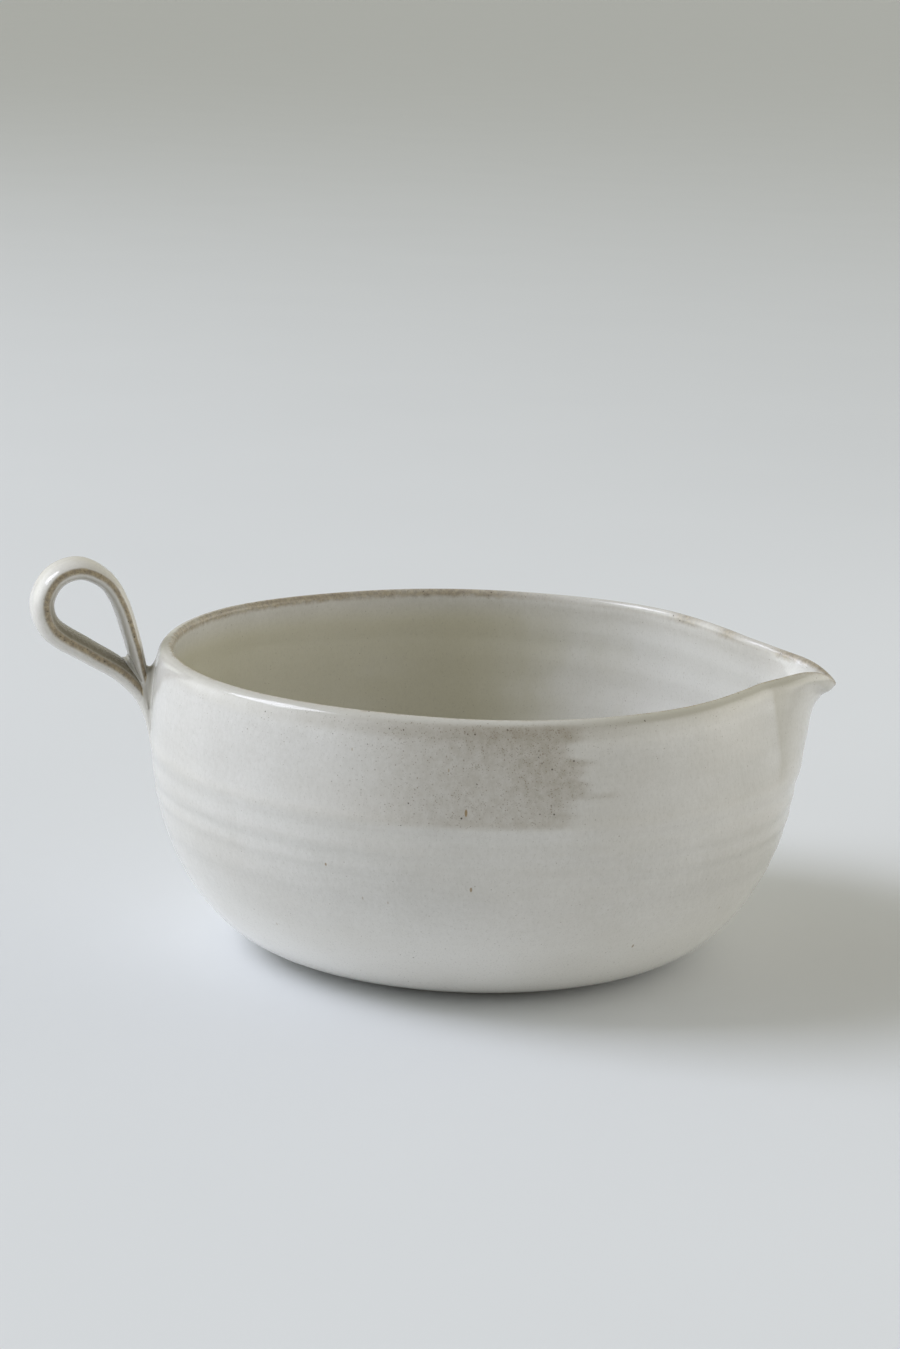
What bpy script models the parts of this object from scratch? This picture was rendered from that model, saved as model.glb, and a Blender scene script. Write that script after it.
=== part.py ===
"""Hand-thrown stoneware pouring bowl: a turned bowl with a spout pulled from its
rim, a strap of clay folded into a finger loop, and the pad of slip that lutes
the strap's root to the wall.

Frame: metres, +Z up. The origin is the centre of the flat base, on the
throwing axis. +X runs from the handle to the spout.
"""
import math

import bmesh
import bpy
from mathutils import Vector

MM = 0.001

# ---------------------------------------------------------------- dimensions
# Bowl, millimetres. The outer side is a smooth curve through these stations
# (radius, height), from the lip's crest down to the edge of the flat base.
RIM_CREST_R = 90.4
RIM_HEIGHT = 87.8
BASE_R = 52.0
OUTER_SIDE = [
    (RIM_CREST_R, RIM_HEIGHT),
    (92.2, 87.2),
    (93.4, 85.6),
    (94.2, 82.0),
    (95.0, 75.0),
    (95.3, 66.0),
    (95.1, 56.0),
    (93.6, 45.0),
    (91.0, 35.0),
    (86.1, 23.7),
    (79.6, 14.0),
    (72.4, 7.0),
    (64.0, 2.6),
    (BASE_R, 0.0),
]
LIP_INNER_R = 89.0          # inner edge of the rounded lip
LIP_INNER_DROP = 1.2        # how far that edge lies under the crest
WALL_AT_RIM = 5.0           # wall thickness just under the lip
WALL_AT_FOOT = 6.6          # wall thickness where it turns into the floor
FLOOR = 7.4                 # thickness of the floor at the middle
TURN_STEPS = 90             # facets around the throwing axis

# Spout, pulled out of the rim at +X.
# Angles round the bowl are counted from the spout, in degrees.
SPOUT_BEND = math.radians(112.0)   # how far the lip is bent over at the tip
SPOUT_BEND_FROM = 69.0            # height where the bend starts
SPOUT_CURL = 1.6                  # the bend tightens towards the lip
SPOUT_WIDTH = 8.6                 # the bend fades by 1/e over this half width
SPOUT_TIP_ROUND = 6.3             # rounding of the tip seen from above
SPOUT_SWELL = 9.0                 # the wall swells out between two creases
SPOUT_SWELL_ANGLE = 10.0          # it rises from the crease over this angle
SPOUT_SWELL_FROM = 47.0
SPOUT_SWELL_TO = 80.0
SPOUT_DIP = 1.1                   # the rim runs down this much towards the spout
SPOUT_DIP_SPREAD = 36.0
FAR_DIP = 1.2                     # the lip hangs a little lower just past the spout
FAR_DIP_ANGLE = 11.0
FAR_DIP_SPREAD = 8.0
CREASE_ANGLE = 21.0               # crease between the swell and the pressed flank
CREASE_SPLAY = 4.0                # it runs outwards at its lower end
CREASE_SOFT = 1.6
NOSE_ANGLE = 5.0                  # rounding of the swell at the middle of the spout
FLANK_PRESS = 4.5                 # flanks beside the spout are pressed in
FLANK_ANGLE = 29.0
FLANK_SPREAD = 21.0
FLANK_FROM = 44.0

# Loop handle at -X. The strap's centre line, from its tail on the wall round
# the loop and back down to the root: (distance from the wall, height).
STRAP_LINE = [
    (1.0, 63.4),
    (4.3, 72.0),
    (10.6, 79.1),
    (20.0, 84.9),
    (30.2, 91.4),
    (33.3, 98.8),
    (29.8, 106.2),
    (22.6, 109.0),
    (15.2, 105.8),
    (10.9, 99.2),
    (7.3, 88.5),
    (4.3, 78.8),
]
# Half thickness of the strap at each of those stations.
STRAP_HALF_THICK = [1.2, 1.7, 1.9, 3.0, 3.4, 3.4, 3.2, 3.1, 2.9, 2.8, 2.4, 1.5]
STRAP_HALF_WIDTH = 7.7
STRAP_ROOT_R = 95.0               # wall radius that the line is measured from
LOOP_TURN = math.radians(15.0)    # the loop is turned this far about the vertical
STRAP_RINGS = 46
STRAP_SIDES = 14

# Luting slip between the strap's root and the wall.
GAP = 0.3                         # clearance that separate bodies keep
SLIP_LAYER = 1.0                  # slip left under the strap's root
SLIP_LOW, SLIP_HIGH = 60.5, 82.4  # heights it is smoothed out over
SLIP_HALF_WIDTH = 10.8
SLIP_CREST_Z = 77.6               # it is thickest in the crotch of the loop
SLIP_CREST = 3.9

GLAZE = (0.66, 0.65, 0.60, 1.0)
STRAP_GLAZE = (0.64, 0.62, 0.56, 1.0)
SLIP_CLAY = (0.50, 0.45, 0.36, 1.0)


# ---------------------------------------------------------------- helpers
def smooth(low, high, x):
    t = min(max((x - low) / (high - low), 0.0), 1.0)
    return t * t * (3.0 - 2.0 * t)


def spline(points, count):
    """Points spread along a Catmull-Rom curve through the given stations."""
    n = len(points)
    pts = [tuple(points[0])] + [tuple(p) for p in points] + [tuple(points[-1])]
    fine = []
    per = 24
    for i in range(1, n):
        p0, p1, p2, p3 = pts[i - 1], pts[i], pts[i + 1], pts[i + 2]
        for k in range(per):
            t = k / per
            fine.append(tuple(
                0.5 * (2.0 * b + (c - a) * t
                       + (2.0 * a - 5.0 * b + 4.0 * c - d) * t * t
                       + (3.0 * b - a - 3.0 * c + d) * t ** 3)
                for a, b, c, d in zip(p0, p1, p2, p3)))
    fine.append(pts[n])
    run = [0.0]
    for a, b in zip(fine, fine[1:]):
        run.append(run[-1] + math.hypot(b[0] - a[0], b[1] - a[1]))
    out, j = [], 0
    for k in range(count):
        want = run[-1] * k / (count - 1)
        while j < len(run) - 2 and run[j + 1] < want:
            j += 1
        t = (want - run[j]) / max(run[j + 1] - run[j], 1e-9)
        out.append(tuple(a + (b - a) * t for a, b in zip(fine[j], fine[j + 1])))
    return out


def at_height(line, z):
    """Radius where a profile line passes a height."""
    for (r0, z0), (r1, z1) in zip(line, line[1:]):
        if min(z0, z1) <= z <= max(z0, z1) and z0 != z1:
            return r0 + (r1 - r0) * (z - z0) / (z1 - z0)
    return line[0][0] if abs(z - line[0][1]) < abs(z - line[-1][1]) else line[-1][0]


OUTER_FINE = spline(OUTER_SIDE, 240)


def outer_r(z):
    return at_height(OUTER_FINE, z)


def wall_thickness(z):
    return WALL_AT_FOOT + (WALL_AT_RIM - WALL_AT_FOOT) * smooth(0.0, 60.0, z)


def inner_side(count):
    """The inside of the wall, one wall thickness in from the outside."""
    out = []
    for i, (r, z) in enumerate(OUTER_FINE):
        if not 1.6 < z < RIM_HEIGHT - 4.5:
            continue
        (ra, za), (rb, zb) = OUTER_FINE[i - 1], OUTER_FINE[i + 1]
        dr, dz = ra - rb, za - zb
        size = math.hypot(dr, dz)
        t = wall_thickness(z)
        out.append((r - t * dz / size, z + t * dr / size))
    keep = []
    for p in out:
        if not keep or p[1] < keep[-1][1] - 1e-6:
            keep.append(p)
    stations = [keep[round(k * (len(keep) - 1) / 9)] for k in range(10)]
    return spline(stations, count)


def turned(name, profile, collection):
    """A body of revolution: a profile at +X with a Screw modifier, made a mesh."""
    mesh = bpy.data.meshes.new(name + "_profile")
    mesh.from_pydata([(r * MM, 0.0, z * MM) for r, z in profile],
                     [(i, i + 1) for i in range(len(profile) - 1)], [])
    half = bpy.data.objects.new(name + "_profile", mesh)
    collection.objects.link(half)
    screw = half.modifiers.new("turn", "SCREW")
    screw.axis = "Z"
    screw.angle = 2.0 * math.pi
    screw.steps = TURN_STEPS
    screw.render_steps = TURN_STEPS
    screw.use_merge_vertices = True
    screw.merge_threshold = 0.00001
    screw.use_smooth_shade = True
    graph = bpy.context.evaluated_depsgraph_get()
    solid = bpy.data.meshes.new_from_object(half.evaluated_get(graph))
    bpy.data.objects.remove(half)
    bm = bmesh.new()
    bm.from_mesh(solid)
    bmesh.ops.remove_doubles(bm, verts=bm.verts, dist=0.00001)
    bmesh.ops.dissolve_degenerate(bm, edges=bm.edges, dist=0.000001)
    bm.to_mesh(solid)
    bm.free()
    solid.name = name
    obj = bpy.data.objects.new(name, solid)
    collection.objects.link(obj)
    return obj


def glaze(name, colour, roughness):
    mat = bpy.data.materials.new(name)
    mat.use_nodes = True
    shader = mat.node_tree.nodes["Principled BSDF"]
    shader.inputs["Base Color"].default_value = colour
    shader.inputs["Roughness"].default_value = roughness
    shader.inputs["Metallic"].default_value = 0.0
    mat.diffuse_color = colour
    return mat


def cutter_look(obj):
    obj.hide_render = True
    obj.display_type = "WIRE"


def cut(obj, tool):
    mod = obj.modifiers.new("cut_" + tool.name, "BOOLEAN")
    mod.operation = "DIFFERENCE"
    mod.solver = "EXACT"
    mod.object = tool


# ---------------------------------------------------------------- spout
INNER_FINE = inner_side(160)


def mid_r(z):
    z = min(max(z, 30.0), RIM_HEIGHT - 5.0)
    return 0.5 * (outer_r(z) + at_height(INNER_FINE, z))


def mid_wall(phi, z, pulled):
    """A point of the middle of the wall, before or after the spout is pulled."""
    r = mid_r(z)
    if not pulled:
        return Vector((r * math.cos(phi), r * math.sin(phi), z))
    front = smooth(0.0, 0.45, math.cos(phi))
    y = r * math.sin(phi)
    rise = smooth(FLANK_FROM, RIM_HEIGHT, z)
    angle = math.degrees(abs(phi))
    r -= (FLANK_PRESS * front * rise
          * math.exp(-(max(angle - FLANK_ANGLE, 0.0) / FLANK_SPREAD) ** 2))
    crease = CREASE_ANGLE + CREASE_SPLAY * (1.0 - smooth(54.0, 66.0, z))
    past = CREASE_SOFT * math.log1p(math.exp((crease - math.hypot(angle, NOSE_ANGLE)) / CREASE_SOFT))
    r += (SPOUT_SWELL * front * smooth(SPOUT_SWELL_FROM, SPOUT_SWELL_TO, z)
          * (1.0 - math.exp(-past / SPOUT_SWELL_ANGLE)))
    reach = math.hypot(y, SPOUT_TIP_ROUND) - SPOUT_TIP_ROUND
    bend = max(SPOUT_BEND * front * math.exp(-reach / SPOUT_WIDTH), 1e-5)
    arm = RIM_HEIGHT - SPOUT_BEND_FROM
    up = max(z - SPOUT_BEND_FROM, 0.0)
    out, drop = 0.0, up
    for k in range(12):
        curl = bend * (up * (k + 0.5) / 12 / arm) ** SPOUT_CURL
        out += up / 12 * math.sin(curl)
        drop -= up / 12 * math.cos(curl)
    drop += SPOUT_DIP * front * rise * math.exp(-(angle / SPOUT_DIP_SPREAD) ** 2)
    drop += (FAR_DIP * front * rise ** 2
             * math.exp(-((math.degrees(phi) - FAR_DIP_ANGLE) / FAR_DIP_SPREAD) ** 2))
    return Vector((r * math.cos(phi) + out, r * math.sin(phi), z - drop))


def wall_normal(phi, z, pulled):
    e, h = 0.004, 0.4
    across = mid_wall(phi + e, z, pulled) - mid_wall(phi - e, z, pulled)
    along = mid_wall(phi, z + h, pulled) - mid_wall(phi, z - h, pulled)
    return across.cross(along).normalized()


def pull_spout(mesh):
    """Carry the wall outwards with its middle surface, keeping its thickness."""
    for vert in mesh.vertices:
        x, y, z = (c / MM for c in vert.co)
        if z < FLANK_FROM or x < 0.0:
            continue
        phi = math.atan2(y, x)
        depth = math.hypot(x, y) - mid_r(z)
        moved = mid_wall(phi, z, True) - mid_wall(phi, z, False)
        turned_by = wall_normal(phi, z, True) - wall_normal(phi, z, False)
        p = Vector((x, y, z)) + moved + depth * turned_by
        vert.co = p * MM


# ---------------------------------------------------------------- strap
def strap_frames():
    """Stations along the strap: centre, tangent, half thickness."""
    line = [(u, z, a) for (u, z), a in zip(STRAP_LINE, STRAP_HALF_THICK)]
    return spline(line, STRAP_RINGS)


def loft_strap(name, grow, collection):
    """The strap as oval rings skinned along its centre line."""
    stations = strap_frames()
    out_dir = Vector((-math.cos(LOOP_TURN), -math.sin(LOOP_TURN), 0.0))
    bm = bmesh.new()
    rings = []
    last = len(stations) - 1
    for i, (u, z, a) in enumerate(stations):
        ua, za, _ = stations[max(i - 1, 0)]
        ub, zb, _ = stations[min(i + 1, last)]
        tangent = (out_dir * (ub - ua) + Vector((0, 0, zb - za))).normalized()
        centre = Vector((-STRAP_ROOT_R, 0, 0)) + out_dir * u + Vector((0, 0, z))
        if i == 0:
            centre -= tangent * grow
        if i == last:
            centre += tangent * grow
        turn = LOOP_TURN * smooth(2.0, 14.0, u)
        wide = Vector((-math.sin(turn), math.cos(turn), 0.0))
        wide = (wide - tangent * wide.dot(tangent)).normalized()
        thick = tangent.cross(wide)
        ring = []
        for k in range(STRAP_SIDES):
            t = 2.0 * math.pi * k / STRAP_SIDES
            p = (centre + wide * (STRAP_HALF_WIDTH + grow) * math.cos(t)
                 + thick * (a + grow) * math.sin(t))
            ring.append(bm.verts.new(p * MM))
        rings.append(ring)
    for ra, rb in zip(rings, rings[1:]):
        for k in range(STRAP_SIDES):
            n = (k + 1) % STRAP_SIDES
            bm.faces.new((ra[k], rb[k], rb[n], ra[n]))
    bm.faces.new(rings[0])
    bm.faces.new(list(reversed(rings[-1])))
    bmesh.ops.recalc_face_normals(bm, faces=bm.faces)
    mesh = bpy.data.meshes.new(name)
    bm.to_mesh(mesh)
    bm.free()
    mesh.shade_smooth()
    obj = bpy.data.objects.new(name, mesh)
    collection.objects.link(obj)
    return obj


def wall_solid(name, offset, collection):
    """The space behind the outside of the wall, grown by an offset."""
    side = [(r + offset, z) for r, z in OUTER_FINE if 48.0 < z < RIM_HEIGHT - 3.0]
    side = [side[round(k * (len(side) - 1) / 13)] for k in range(14)]
    top, low = side[0], side[-1]
    profile = [(0.0, top[1] + 6.0), (top[0] - 3.0, top[1] + 6.0)] + side + [(0.0, low[1])]
    obj = turned(name, profile, collection)
    cutter_look(obj)
    return obj


def slip_pad(name, collection):
    """A pad that lies on the wall, thickest in the crotch of the loop."""
    rows, cols = 16, 14

    def place(i, j, lift):
        z = SLIP_LOW + (SLIP_HIGH - SLIP_LOW) * i / rows
        v = -1.0 + 2.0 * j / cols
        up = (z - SLIP_LOW) / (SLIP_HIGH - SLIP_LOW)
        half = SLIP_HALF_WIDTH * math.sqrt(max(1.0 - (1.9 * (up - 0.5)) ** 2, 0.08))
        phi = math.pi + v * half / STRAP_ROOT_R
        body = smooth(SLIP_LOW - 1.0, SLIP_CREST_Z, z) * (1.0 - smooth(SLIP_CREST_Z, SLIP_HIGH + 1.0, z))
        high = 0.4 + SLIP_CREST * body * (1.0 - v * v)
        r = outer_r(z) + GAP + (high if lift else 0.0)
        return Vector((r * math.cos(phi), r * math.sin(phi), z)) * MM

    bm = bmesh.new()
    low = [[bm.verts.new(place(i, j, False)) for j in range(cols + 1)] for i in range(rows + 1)]
    top = [[bm.verts.new(place(i, j, True)) for j in range(cols + 1)] for i in range(rows + 1)]
    for i in range(rows):
        for j in range(cols):
            bm.faces.new((low[i][j], low[i][j + 1], low[i + 1][j + 1], low[i + 1][j]))
            bm.faces.new((top[i][j], top[i + 1][j], top[i + 1][j + 1], top[i][j + 1]))
    border = ([(0, j) for j in range(cols)] + [(i, cols) for i in range(rows)]
              + [(rows, j) for j in range(cols, 0, -1)] + [(i, 0) for i in range(rows, 0, -1)])
    for (ia, ja), (ib, jb) in zip(border, border[1:] + border[:1]):
        bm.faces.new((low[ia][ja], top[ia][ja], top[ib][jb], low[ib][jb]))
    bmesh.ops.recalc_face_normals(bm, faces=bm.faces)
    mesh = bpy.data.meshes.new(name)
    bm.to_mesh(mesh)
    bm.free()
    mesh.shade_smooth()
    obj = bpy.data.objects.new(name, mesh)
    collection.objects.link(obj)
    return obj


# ---------------------------------------------------------------- build
def main():
    for obj in list(bpy.data.objects):
        bpy.data.objects.remove(obj)
    parts = bpy.data.collections.new("pouring_bowl")
    tools = bpy.data.collections.new("cutters")
    bpy.context.scene.collection.children.link(parts)
    bpy.context.scene.collection.children.link(tools)

    base = bpy.data.objects.new("bowl_base", None)
    parts.objects.link(base)

    # Bowl: floor, up the inside, over the lip, down the outside, across the base.
    inside = list(reversed(inner_side(13)))
    floor_r, floor_z = inside[0]
    profile = [(0.0, FLOOR), (0.45 * floor_r, FLOOR + 0.1), (0.82 * floor_r, FLOOR + 0.35 * (floor_z - FLOOR))]
    profile += inside
    crest = RIM_HEIGHT
    profile += [(LIP_INNER_R - 0.05, crest - 2.6), (LIP_INNER_R, crest - LIP_INNER_DROP),
                (LIP_INNER_R + 0.55, crest - 0.3)]
    profile += spline(OUTER_SIDE, 25)
    profile += [(0.5 * BASE_R, 0.0), (0.0, 0.0)]
    bowl = turned("thrown_bowl", profile, parts)
    pull_spout(bowl.data)
    bowl.data.materials.append(glaze("milky_glaze", GLAZE, 0.18))

    handle = loft_strap("loop_handle", 0.0, parts)
    cut(handle, wall_solid("wall_behind_strap", 2.0 * GAP + SLIP_LAYER, tools))
    handle.data.materials.append(glaze("strap_glaze", STRAP_GLAZE, 0.22))

    slip = slip_pad("luting_slip", parts)
    room = loft_strap("room_for_strap", GAP, tools)
    cutter_look(room)
    cut(room, wall_solid("wall_behind_room", GAP + SLIP_LAYER, tools))
    cut(slip, room)
    slip.data.materials.append(glaze("slip_clay", SLIP_CLAY, 0.35))

    for obj in (bowl, handle, slip):
        obj.parent = base


main()
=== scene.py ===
"""Looks of the hand-thrown pouring bowl: the thrown wall with its throwing rings
and pulled spout, the folded strap handle, the slip that lutes it on, and the
milky speckled glaze over all three. Pale floor, soft light from the left.

Lengths are written in millimetres and made metres when a mesh is made.
"""
import math

import bpy
import numpy as np
from mathutils import Matrix, Vector


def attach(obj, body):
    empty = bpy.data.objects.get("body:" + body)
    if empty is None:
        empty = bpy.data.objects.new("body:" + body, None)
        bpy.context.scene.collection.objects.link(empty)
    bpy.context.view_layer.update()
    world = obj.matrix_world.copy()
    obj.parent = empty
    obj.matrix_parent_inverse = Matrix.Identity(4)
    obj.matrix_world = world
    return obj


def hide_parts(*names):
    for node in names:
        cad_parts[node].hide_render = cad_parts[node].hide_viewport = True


MM = 0.001

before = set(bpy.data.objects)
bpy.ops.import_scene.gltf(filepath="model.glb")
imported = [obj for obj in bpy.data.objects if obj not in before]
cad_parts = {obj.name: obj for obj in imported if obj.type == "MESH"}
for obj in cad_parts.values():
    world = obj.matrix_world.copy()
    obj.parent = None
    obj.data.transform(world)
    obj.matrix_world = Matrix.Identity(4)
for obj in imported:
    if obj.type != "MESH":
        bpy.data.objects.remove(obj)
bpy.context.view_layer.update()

# ------------------------------------------------------------------ the shape
RIM_CREST_R = 90.4
RIM_HEIGHT = 87.8
BASE_R = 52.0
OUTER_SIDE = [
    (RIM_CREST_R, RIM_HEIGHT), (92.2, 87.2), (93.4, 85.6), (94.2, 82.0),
    (95.0, 75.0), (95.3, 66.0), (95.1, 56.0), (93.6, 45.0), (91.0, 35.0),
    (86.1, 23.7), (79.6, 14.0), (72.4, 7.0), (64.0, 2.6), (BASE_R, 0.0),
]
WALL_AT_RIM = 5.0
WALL_AT_FOOT = 6.6
FLOOR = 7.4

# Angles round the bowl are counted from the spout, in degrees.
SPOUT_BEND = math.radians(112.0)
SPOUT_BEND_FROM = 69.0
SPOUT_CURL = 1.6             # the bend tightens towards the lip
SPOUT_WIDTH = 8.6
SPOUT_TIP_ROUND = 6.3
SPOUT_SWELL = 9.0
SPOUT_SWELL_ANGLE = 10.0     # it rises from the crease over this angle
SPOUT_SWELL_FROM = 47.0
SPOUT_SWELL_TO = 80.0
SPOUT_DIP = 1.1
SPOUT_DIP_SPREAD = 36.0
FAR_DIP = 1.2                # the lip hangs a little lower just past the spout
FAR_DIP_ANGLE = 11.0
FAR_DIP_SPREAD = 8.0
CREASE_ANGLE = 21.0
CREASE_SPLAY = 4.0           # it runs outwards at its lower end
CREASE_SOFT = 1.6
NOSE_ANGLE = 5.0
FLANK_PRESS = 4.5
FLANK_ANGLE = 29.0
FLANK_SPREAD = 21.0
FLANK_FROM = 44.0

# Strap: distance out from the wall, height and half thickness of its stations,
# from the tail that is smeared onto the wall to the end inside the crotch.
STRAP = [
    (-1.8, 57.0, 0.6), (0.5, 62.8, 1.6), (4.0, 71.4, 2.7), (10.4, 78.4, 3.3),
    (19.8, 84.2, 3.5), (30.3, 90.9, 3.6), (33.3, 98.8, 3.4), (29.8, 106.2, 3.2),
    (22.6, 109.0, 3.1), (15.2, 105.8, 2.9), (10.7, 99.2, 2.7), (7.1, 88.5, 2.4),
    (4.6, 78.8, 2.0), (3.3, 73.5, 1.3), (2.7, 70.0, 0.7),
]
STRAP_HALF_WIDTH = 7.7
STRAP_ROOT_R = 95.0
LOOP_TURN = math.radians(15.0)
STRAP_EDGE_LEAN = (math.radians(-10.0), math.radians(8.0))    # lower leg, upper leg
STRAP_FULLNESS = 0.86

# Throwing rings left by the fingers: height, half width, how far they stand out.
RINGS_OUT = [
    (81.5, 1.8, 0.05), (76.0, 2.2, -0.06), (70.0, 2.6, 0.04), (65.5, 2.0, -0.03),
    (59.3, 2.2, 0.30), (54.6, 1.9, -0.28), (51.0, 1.7, 0.16), (47.6, 1.5, -0.16),
    (44.7, 1.2, 0.19), (41.6, 1.7, -0.13), (37.0, 1.9, 0.08), (33.4, 1.9, -0.07),
    (29.0, 2.0, 0.05), (24.0, 2.2, -0.05), (19.5, 2.0, 0.05),
]
RINGS_IN = [
    (82.0, 2.0, -0.08), (77.0, 2.2, 0.16), (71.5, 2.2, -0.16), (66.0, 2.4, 0.14),
    (59.5, 2.4, -0.18), (53.0, 2.4, 0.16), (46.5, 2.4, -0.16), (39.5, 2.6, 0.18),
    (32.5, 2.4, -0.18), (26.0, 2.2, 0.16), (20.0, 1.8, -0.14), (15.5, 1.5, 0.12),
]


def smooth(low, high, x):
    t = np.clip((np.asarray(x, float) - low) / (high - low), 0.0, 1.0)
    return t * t * (3.0 - 2.0 * t)


def bell(x, middle, width):
    return np.exp(-((np.asarray(x, float) - middle) / width) ** 2)


def spline(points, count):
    """Points spread evenly along a Catmull-Rom curve through the stations."""
    p = np.array([points[0]] + list(points) + [points[-1]], float)
    t = (np.arange(32) / 32.0)[:, None]
    fine = []
    for a, b, c, d in zip(p, p[1:], p[2:], p[3:]):
        fine.append(0.5 * (2 * b + (c - a) * t + (2 * a - 5 * b + 4 * c - d) * t ** 2
                           + (3 * b - a - 3 * c + d) * t ** 3))
    fine = np.vstack(fine + [p[-1:]])
    run = np.r_[0.0, np.cumsum(np.hypot(*np.diff(fine[:, :2], axis=0).T))]
    at = np.linspace(0.0, run[-1], count)
    return np.stack([np.interp(at, run, fine[:, k]) for k in range(fine.shape[1])], 1)


OUTER_FINE = spline(OUTER_SIDE, 600)


def outer_r(z):
    return np.interp(z, OUTER_FINE[::-1, 1], OUTER_FINE[::-1, 0])


def wall_thickness(z):
    return WALL_AT_FOOT + (WALL_AT_RIM - WALL_AT_FOOT) * smooth(0.0, 60.0, z)


def inner_stations():
    """The inside of the wall, one wall thickness in from the outside."""
    line = OUTER_FINE
    along = np.gradient(line, axis=0)
    along /= np.linalg.norm(along, axis=1)[:, None]
    t = wall_thickness(line[:, 1])
    inside = np.stack([line[:, 0] + t * along[:, 1], line[:, 1] - t * along[:, 0]], 1)
    keep = inside[(line[:, 1] > 1.6) & (line[:, 1] < RIM_HEIGHT - 4.5)]
    return keep[np.round(np.linspace(0, len(keep) - 1, 10)).astype(int)]


INNER = inner_stations()
INNER_FINE = spline(INNER, 400)


def inner_r(z):
    return np.interp(z, INNER_FINE[::-1, 1], INNER_FINE[::-1, 0])


def mid_r(z):
    z = np.clip(z, 30.0, RIM_HEIGHT - 5.0)
    return 0.5 * (outer_r(z) + inner_r(z))


def crease_angle(z):
    return CREASE_ANGLE + CREASE_SPLAY * (1.0 - smooth(54.0, 66.0, z))


def mid_wall(phi, z, pulled):
    """The middle surface of the wall, before or after the spout is pulled."""
    r = mid_r(z)
    if not pulled:
        return np.stack([r * np.cos(phi), r * np.sin(phi), z], -1)
    front = smooth(0.0, 0.45, np.cos(phi))
    y = r * np.sin(phi)
    rise = smooth(FLANK_FROM, RIM_HEIGHT, z)
    turn = np.degrees(np.abs(phi))
    # two fingers press the flanks in; between them the wall swells out from a crease
    r = r - FLANK_PRESS * front * rise * bell(np.maximum(turn, FLANK_ANGLE), FLANK_ANGLE, FLANK_SPREAD)
    past = CREASE_SOFT * np.logaddexp(0.0, (crease_angle(z) - np.hypot(turn, NOSE_ANGLE)) / CREASE_SOFT)
    r = r + (SPOUT_SWELL * front * smooth(SPOUT_SWELL_FROM, SPOUT_SWELL_TO, z)
             * (1.0 - np.exp(-past / SPOUT_SWELL_ANGLE)))
    reach = np.hypot(y, SPOUT_TIP_ROUND) - SPOUT_TIP_ROUND
    bend = np.maximum(SPOUT_BEND * front * np.exp(-reach / SPOUT_WIDTH), 1e-5)
    arm = RIM_HEIGHT - SPOUT_BEND_FROM
    up = np.maximum(z - SPOUT_BEND_FROM, 0.0)
    out, drop = 0.0, up
    for k in range(12):
        curl = bend * (up * (k + 0.5) / 12 / arm) ** SPOUT_CURL
        out = out + up / 12 * np.sin(curl)
        drop = drop - up / 12 * np.cos(curl)
    drop = drop + SPOUT_DIP * front * rise * bell(turn, 0.0, SPOUT_DIP_SPREAD)
    drop = drop + FAR_DIP * front * rise ** 2 * bell(np.degrees(phi), FAR_DIP_ANGLE, FAR_DIP_SPREAD)
    return np.stack([r * np.cos(phi) + out, r * np.sin(phi), z - drop], -1)


def wall_normal(phi, z, pulled):
    e, h = 0.004, 0.4
    across = mid_wall(phi + e, z, pulled) - mid_wall(phi - e, z, pulled)
    along = mid_wall(phi, z + h, pulled) - mid_wall(phi, z - h, pulled)
    n = np.cross(across, along)
    return n / np.linalg.norm(n, axis=-1, keepdims=True)


def pull_spout(p):
    """Carry the wall outwards with its middle surface, keeping its thickness."""
    p = p.copy()
    k = (p[:, 2] >= FLANK_FROM) & (p[:, 0] >= 0.0)
    q = p[k]
    phi = np.arctan2(q[:, 1], q[:, 0])
    z = q[:, 2]
    depth = (np.hypot(q[:, 0], q[:, 1]) - mid_r(z))[:, None]
    moved = mid_wall(phi, z, True) - mid_wall(phi, z, False)
    turned = wall_normal(phi, z, True) - wall_normal(phi, z, False)
    p[k] = q + moved + depth * turned
    return p


def rings(table, z, phi, seed):
    """Relief of the throwing rings: they wander in height and fade round the bowl."""
    wander = -0.9 * np.cos(phi) + 0.18 * np.sin(2 * phi + 1.7 * seed) + 0.10 * np.sin(5 * phi + seed)
    out = np.zeros(np.broadcast(z, phi).shape)
    for n, (height, width, stand) in enumerate(table):
        fade = 0.78 + 0.22 * np.sin(phi + 2.1 * n + seed) + 0.10 * np.sin(3 * phi + 1.3 * n)
        out += stand * fade * bell(z - wander, height, width)
    return out


def new_mesh(name, verts, faces, attributes=None):
    mesh = bpy.data.meshes.new(name)
    mesh.from_pydata((np.asarray(verts) * MM).tolist(), [], faces)
    mesh.update()
    mesh.shade_smooth()
    for key, values in (attributes or {}).items():
        layer = mesh.attributes.new(key, "FLOAT", "POINT")
        layer.data.foreach_set("value", np.ascontiguousarray(values, np.float32))
    obj = bpy.data.objects.new(name, mesh)
    bpy.context.scene.collection.objects.link(obj)
    return obj


# ------------------------------------------------------------------ the bowl
AROUND = 384


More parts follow.
